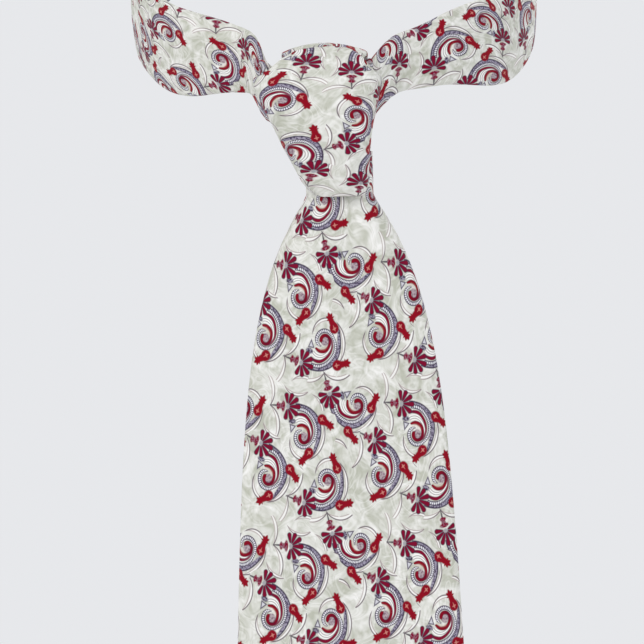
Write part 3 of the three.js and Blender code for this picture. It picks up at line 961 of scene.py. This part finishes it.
BLADE_PRINT = (-13.05 * MM, 91.1 * MM)      # a palmette hub: from the middle, and down from the mouth


def blade_cloth(across, depth, _):
    return across - BLADE_PRINT[0], BLADE_PRINT[1] - depth


def tail_cloth(across, depth, _):
    return across + 11 * MM, 27 * MM - depth


def sewing(piece, node):
    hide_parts(node)


def build_end(end, name, place_on_cloth, rows, tipping_height):
    """The blade or the tail; its tipping and bar tack are attached to the body it hangs from."""
    shell, wool, tipping, seam_thread, tack = end.build(name, place_on_cloth, rows, tipping_height)
    sewing(seam_thread, f"{name}_slip_stitch")
    sewing(tack, f"{name}_bar_tack")
    for piece, node in ((shell, "shell"), (wool, "interlining"), (tipping, "tipping")):
        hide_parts(f"{name}_{node}")
    for piece in (shell, wool, seam_thread):
        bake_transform(piece)
    for piece in (tipping, tack):
        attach(piece, name)


def build_tail_lead():
    """The tail where it leaves the knot; its lower end is inside the folded tail."""
    inside = 0.62 * MM
    top, bottom = -16 * MM, 46 * MM

    def depth_at(b):
        return lerp(top, bottom, b)

    def middle(a, b):
        depth = depth_at(b)
        place = TAIL.middle(a, TAIL.share(depth))
        return Vector((place.x * (1 - inside / TAIL.half_width(depth)), place.y, place.z))

    strip = Strip(middle, lambda a, b: TAIL.thickness(a, depth_at(b)) - inside, depth_at)
    lead = folded_shell("tail_lead_silk", strip, shares(40), lambda b: 0.06, tail_cloth)
    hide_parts("tail_lead")
    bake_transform(lead)


# ---- keeper loop and label ----------------------------------------------------------
def build_keeper():
    """Narrow folded band on the back of the blade, over the tail."""
    middle_z = (KEEPER_BOX[0].z + KEEPER_BOX[1].z) / 2
    depth = MOUTH_Z - middle_z
    half_height = (KEEPER_BOX[1].z - KEEPER_BOX[0].z) / 2
    reach = KEEPER_BOX[1].x - 1 * MM
    bridge = reach - 8 * MM
    out_y = KEEPER_BOX[1].y - 0.6 * MM
    foot = BLADE.at(reach, depth, 0.6 * MM).y
    half_route = (
        (reach, foot), (reach - 4 * MM, foot), (bridge, foot + 1.2 * MM),
        (bridge - 2.5 * MM, out_y - 1.2 * MM), (bridge - 7 * MM, out_y - 0.1 * MM),
        (6 * MM, out_y + 0.1 * MM))
    corners = [Vector((x, y, middle_z)) for x, y in half_route]
    line = smooth_line(corners + [Vector((-p.x, p.y, p.z)) for p in reversed(corners)], 6)
    half = 0.55 * MM

    def middle(a, b):
        sag = 0.25 * MM * ripple(a * 6 * MM, b * 60 * MM, 9 * MM, 4.0)
        return along_line(line, b) + Vector((0, sag, a * (half_height - half)))

    strip = Strip(middle, lambda a, b: half)
    band = folded_shell("keeper_band", strip, shares(len(line) - 1), lambda b: 0.08,
                        lambda across, along, b: (across + 21 * MM, along - 8 * MM), thickness=0.35 * MM)
    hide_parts("keeper_loop")
    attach(band, "front_blade")
    for name, side in (("left", -1), ("right", 1)):
        points = []
        for i, t in enumerate(shares(14)):
            x = side * (reach - (2.6 if i % 2 else 3.4) * MM)
            z = middle_z + lerp(-1, 1, t) * (half_height - 1.5 * MM)
            points.append(Vector((x, foot + 0.75 * MM, z)))
        stitch = thread_tube(f"keeper_{name}_stitches", points, SEAM_THREAD)
        sewing(stitch, f"keeper_stitch_{name}")
        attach(stitch, "front_blade")


def build_label():
    """Blank woven label with turned-in ends, sewn to the back of the blade."""
    low, high = LABEL_BOX
    columns, rows = 25, 9
    points, cloth = [], []
    for up in shares(rows - 1):
        for across in shares(columns - 1):
            x, z = lerp(low.x, high.x, across), lerp(low.z, high.z, up)
            edge = max(abs(2 * across - 1), abs(2 * up - 1)) ** 12
            points.append(BLADE.at(x, MOUTH_Z - z, (0.75 - 0.35 * edge) * MM))
            cloth.append((x, z))
    label = mesh_object("blank_label_satin", points, grid_faces(rows, columns), cloth, LABEL)
    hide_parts("blank_label")
    thicken(label, 0.35 * MM)
    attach(label, "front_blade")


# ---- knot ---------------------------------------------------------------------------
# Sizes in this section are in millimetres; heights are above the mouth of the knot. The
# first functions give the knot's sides at a height: x of its left and right, y of its
# front and back.
def knot_left(height):
    return -(8.6 + 0.50 * height)


def knot_right(height):
    return 9.0 + 6.2 * (max(height, 0) / 38) ** 2.6


def knot_width(height):
    return knot_right(height) - knot_left(height)


def knot_front(height):
    return -79.2 - 7.0 * math.sin(math.pi * min(max(height, 0), 50) / 54)


def knot_back(height):
    return -63 + 5 * height / 46


def knot_place(degrees, height, inset):
    """Place on the knot: 0 degrees on the right, 90 at the front, 270 behind."""
    turn = math.radians(degrees)
    left, right, front, back = (f(height) for f in (knot_left, knot_right, knot_front, knot_back))
    half_width, half_depth = (right - left) / 2 - inset, (back - front) / 2 - inset
    flat = 0.66                 # flatter in front than an ellipse, with tighter sides
    c, s = math.cos(turn), math.sin(turn)
    lean = 2.4 * smooth_step(height, 28, 47) * max(s, 0)
    return Vector((
        ((right + left) / 2 + half_width * math.copysign(abs(c) ** flat, c)) * MM,
        ((back + front) / 2 - half_depth * math.copysign(abs(s) ** flat, s) + lean) * MM,
        MOUTH_Z + height * MM,
    ))


KNOT_PRINT_TURN = math.radians(-93.8)
KNOT_PRINT_AT = (-13.47, 14.76)     # a place on the front of the wrap, as (x, height)
KNOT_PRINT_FROM = (8.1, 5.97)       # the place on the cloth that lies there
FACE = 90                           # degrees round the knot where the cloth's lines are true


def knot_cloth(x, height):
    """Place on the cloth of the front wrap, in metres, from a place on its front."""
    dx, dz = x - KNOT_PRINT_AT[0], height - KNOT_PRINT_AT[1]
    c, s = math.cos(KNOT_PRINT_TURN), math.sin(KNOT_PRINT_TURN)
    return (c * dx - s * dz + KNOT_PRINT_FROM[0]) * MM, (s * dx + c * dz + KNOT_PRINT_FROM[1]) * MM


def knot_wrap(name, degrees, low, high, inset, padding):
    """Strip of cloth wound round the knot; low, high and inset depend on the degrees."""
    first, last = degrees

    def heights(turn):
        return low(turn) + padding / 2, high(turn) - padding / 2

    def middle(a, b):
        turn = lerp(first, last, b)
        bottom, top = heights(turn)
        height = lerp(bottom, top, (a + 1) / 2)
        rolled = 0.7 * smooth_step(abs(a), 0.8, 1) ** 2
        soft = 0.30 * ripple(turn / 30, height / 11, 1.0, 6.3)
        soft += 0.12 * ripple(turn / 50, height / 4, 1.0, 1.1)
        return knot_place(turn, height, inset(turn) + padding / 2 + rolled - soft)

    def half(a, b):
        closing = math.sqrt(max(1 - smooth_step(b, 0.985, 1) ** 2, 0.02))
        return padding / 2 * MM * (1 - 0.22 * abs(a) ** 5) * closing

    strip = Strip(middle, half, origin=(first - FACE) / (first - last))
    middle_width = knot_width(sum(heights(FACE)) / 2)

    def place_on_cloth(across, along, b):
        """The cloth isn't stretched, so the lines along it spread where the knot is wider."""
        bottom, top = heights(lerp(first, last, b))
        height = (bottom + top) / 2 + across / MM
        level = min(max(height, 0), 46)
        x = (knot_left(level) + knot_right(level)) / 2 + along / MM * knot_width(level) / middle_width
        return knot_cloth(x, height)

    return folded_shell(name, strip, shares(170), closed_seam, place_on_cloth)


def closed_seam(b):
    """The back flaps meet, but for a thin gap."""
    return 0.05


# Edges and depth of the two wraps, at the degrees round the knot.
def outer_low(turn):
    return 1.9 * smooth_step(turn, 120, 185) + 0.5 * smooth_step(-turn, -40, 10)


def outer_high(turn):
    front = 37.2 + 8.6 * bump(turn, 84, 36)
    behind = lerp(front, 24.0, smooth_step(turn, 188, 232))
    return lerp(behind, 29.0, smooth_step(-turn, 0, 26))


def outer_inset(turn):
    return 3.2 * smooth_step(turn, 285, 325)


def inner_high(turn):
    """Upper edge of the first wrap, which stands up at both sides behind the top fold."""
    return outer_high(turn) - 1.6 + 6.5 * bump(turn, 8, 26) + 7 * bump(turn, 190, 28)


def inner_inset(turn):
    return 3.1 + 1.4 * (bump(turn, 8, 30) + bump(turn, 190, 30))


class Ribbon:
    """Strip through corners of (place, way its front faces, half width), in millimetres."""

    def __init__(self, corners, half_thickness, curl=0.0):
        places, faces, widths = zip(*corners)
        self.lines = [smooth_line(line, 8) for line in (
            [Vector(place) * MM for place in places], [Vector(face).normalized() for face in faces],
            [Vector((width, 0, 0)) for width in widths])]
        self.half_thickness = half_thickness
        self.curl = curl
        self.strip = Strip(self.middle, self.half)

    def middle(self, a, b):
        places, faces, widths = self.lines
        ahead = (along_line(places, b + 0.02) - along_line(places, b - 0.02)).normalized()
        across = along_line(faces, b).cross(ahead).normalized()
        out = ahead.cross(across)
        reach = a * along_line(widths, b).x * MM
        soft = 0.3 * MM * ripple(a, b * 4, 1.0, 7.7) - self.curl * a * a * MM
        return along_line(places, b) + across * reach + out * soft

    def half(self, a, b):
        return self.half_thickness * MM * (1 - 0.25 * abs(a) ** 5)


RIGHT, FRONT, BACK, TOP = (1, 0, 0), (0, -1, 0), (0, 1, 0), (0, 0, 1)


def build_knot():
    wrap = knot_wrap("knot_wrap_silk", (330, -26), outer_low, outer_high, outer_inset, 2.9)
    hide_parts("knot_front_wrap", "knot_back_wrap")
    inner = knot_wrap("knot_first_wrap_silk", (226, -20), lambda turn: 14, inner_high, inner_inset, 2.6)
    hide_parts("knot_first_wrap")
    fold = Ribbon([
        ((5.0, -72.0, -55.0), RIGHT, 8.5), ((6.0, -63.6, -53.5), (0.8, 0.6, 0), 9.0),
        ((1.8, -59.0, -50.5), (0.1, 1, 0), 9.5), ((-2.6, -57.8, -43.5), BACK, 10.2),
        ((-3.8, -58.8, -36.0), (0, 1, 0.3), 10.8), ((-3.6, -62.8, -30.6), (0, 0.6, 0.8), 11.8),
        ((-3.6, -69.4, -28.6), TOP, 12.0), ((-4.0, -75.6, -29.6), (0, -0.5, 0.85), 11.4),
        ((-4.5, -78.4, -35.0), (0, -1, 0.1), 10.0), ((-4.5, -78.4, -43.0), FRONT, 9.0),
    ], 1.35, curl=2.0)
    root = Ribbon([((-4.3, -78.0, -40.0), FRONT, 9.0), ((-3.0, -78.0, -48.0), FRONT, 8.6),
                   ((-1.5, -77.0, -56.0), FRONT, 8.0), ((-0.5, -75.8, -63.0), FRONT, 7.6)], 1.2, curl=1.0)
    passive = Ribbon([((2.0, -67.6, -34.0), FRONT, 7.0), ((1.0, -69.0, -42.0), FRONT, 7.0),
                      ((0.4, -69.0, -55.0), FRONT, 6.2), ((0.0, -68.2, -66.0), FRONT, 5.4)], 1.3)
    for name, ribbon, node, count in (("knot_top_fold_silk", fold, "knot_top_fold", 90),
                                      ("knot_blade_root_silk", root, "knot_blade_root", 30),
                                      ("knot_passive_silk", passive, "knot_passive_strip", 30)):
        piece = folded_shell(name, ribbon.strip, shares(count), closed_seam,
                             lambda across, along, b: (across + 22 * MM, -along + 60 * MM))
        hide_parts(node)
        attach(piece, "knot")
    for piece in (wrap, inner):
        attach(piece, "knot")


# ---- neck band ----------------------------------------------------------------------
LOOP_TILT = 32 * MM
LOOP_MIDDLE_Z = -8 * MM
BAND_HALF = 1.6 * MM
PIECING = 62                    # degrees from the nape, of the bias seams
BIAS = 0.9 / MM                 # degrees round the loop per metre of height
PIECING_GAP = 0.12              # degrees between two stretches of cloth at a bias seam
LEG_ENDS = (-170, 171)
BOW = 0.9 * MM                  # how far the long edges of the band bend in


def band_half_height(degrees):
    toe = (1 - math.cos(math.radians(degrees))) / 2
    entering = smooth_step(abs(degrees), 125, 165)
    return (lerp(17, 13.5, toe) - 4.5 * entering) * MM - BAND_HALF


def band_place(degrees, out, up):
    """Place on the neck loop: degrees from the nape towards the tail side."""
    turn = math.radians(degrees)
    normal = Vector((math.sin(turn) * LOOP_HALF_DEPTH, math.cos(turn) * LOOP_HALF_WIDTH, 0)).normalized()
    place = Vector((LOOP_HALF_WIDTH * math.sin(turn), LOOP_HALF_DEPTH * math.cos(turn),
                    LOOP_MIDDLE_Z + LOOP_TILT * math.cos(turn) + up))
    edge = 152 if degrees < 0 else 158     # where it passes behind the side of the knot
    inside = smooth_step(abs(degrees), edge, edge + 14)
    lifted = 5.5 * smooth_step(abs(degrees), 118, 150)
    aside = -4.5 if degrees < 0 else -1.5
    return place + normal * out + Vector((aside * inside, -9 * inside, lifted - 9 * inside ** 2)) * MM


def band_wave(degrees, a):
    """Slow wave of the band in and out, at a share of its half height."""
    return 0.55 * MM * ripple(degrees / 30, a * 0.7, 1.0, 5.5)


def band_strip(first, last, first_bias, last_bias):
    """Strip of the neck loop between two cuts, the first further round towards the tail side."""
    def middle(a, b):
        rise = a * band_half_height(lerp(first, last, b))
        degrees = lerp(first + rise * first_bias, last + rise * last_bias, b)
        soft = band_wave(degrees, a) + 0.2 * MM * ripple(degrees / 9, a * 1.5, 1.0, 2.5)
        up = rise + 0.4 * MM * ripple(degrees / 25, 0.5, 1.0, 9.5)
        return band_place(degrees, soft - BOW * a * a, up)

    reach = abs(last - first)

    def half(a, b):
        pinch = 0.0
        for bias, away in ((first_bias, b), (last_bias, 1 - b)):
            if bias:
                pinch += bump(away * reach, 0, 1.3)
        return BAND_HALF * (1 - 0.2 * abs(a) ** 5) * (1 - 0.6 * pinch)

    return Strip(middle, half)


def build_neck_band():
    gusset = band_strip(PIECING, -PIECING, BIAS, BIAS)
    blade_leg = band_strip(-PIECING - PIECING_GAP, LEG_ENDS[0], BIAS, 0)
    tail_leg = band_strip(LEG_ENDS[1], PIECING + PIECING_GAP, 0, BIAS)
    for name, strip, rows, shift in (           # rows are closer together at a bias seam
            ("neck_gusset", gusset, [(1 - math.cos(math.pi * t)) / 2 for t in shares(100)], 0.013),
            ("blade_leg", blade_leg, [t ** 1.6 for t in shares(84)], 0.052),
            ("tail_leg", tail_leg, [1 - (1 - t) ** 1.6 for t in shares(84)], 0.034)):
        shell = folded_shell(f"{name}_silk", strip, rows, closed_seam,
                             lambda across, along, b, shift=shift: (across + shift, -along + shift * 1.7))
        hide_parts(f"{name}_shell")
        if strip is gusset:
            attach(shell, "neck_band")
        else:
            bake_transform(shell)

    whole = band_strip(LEG_ENDS[1] - 1, LEG_ENDS[0] + 1, 0, 0)
    wool = filling("neck_interlining_wool", whole, shares(150), 1.3 * MM, WOOL, width=0.93)
    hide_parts("neck_band_interlining")
    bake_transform(wool)

    stitches = [whole.back(0.10 if i % 2 else -0.10, lerp(0.05, 0.95, t), 0.12 * MM)
                for i, t in enumerate(shares(54))]
    seam = thread_tube("neck_seam_thread", stitches, SEAM_THREAD)
    sewing(seam, "neck_slip_stitch")
    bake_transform(seam)

    for name, degrees in (("blade", -PIECING - PIECING_GAP / 2), ("tail", PIECING + PIECING_GAP / 2)):
        half_height = band_half_height(degrees)
        line = []
        for i, t in enumerate(shares(30)):
            rise = lerp(-1, 1, t) * (half_height - 0.5 * MM)
            a, turned = rise / half_height, degrees + rise * BIAS
            out = band_wave(turned, a) - BOW * a * a + BAND_HALF * 0.42 + (0.12 if i % 2 else -0.05) * MM
            line.append(band_place(turned, out, rise))
        stitch = thread_tube(f"{name}_piecing_stitches", line, 0.16 * MM)
        sewing(stitch, f"{name}_piecing_seam")
        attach(stitch, "neck_band")


# ---- whole --------------------------------------------------------------------------
add_camera()
add_lights()
add_floor()
build_end(BLADE, "front_blade", blade_cloth, 84, 108 * MM)
build_end(TAIL, "tail", tail_cloth, 60, 70 * MM)
build_tail_lead()
build_keeper()
build_label()
build_knot()
build_neck_band()
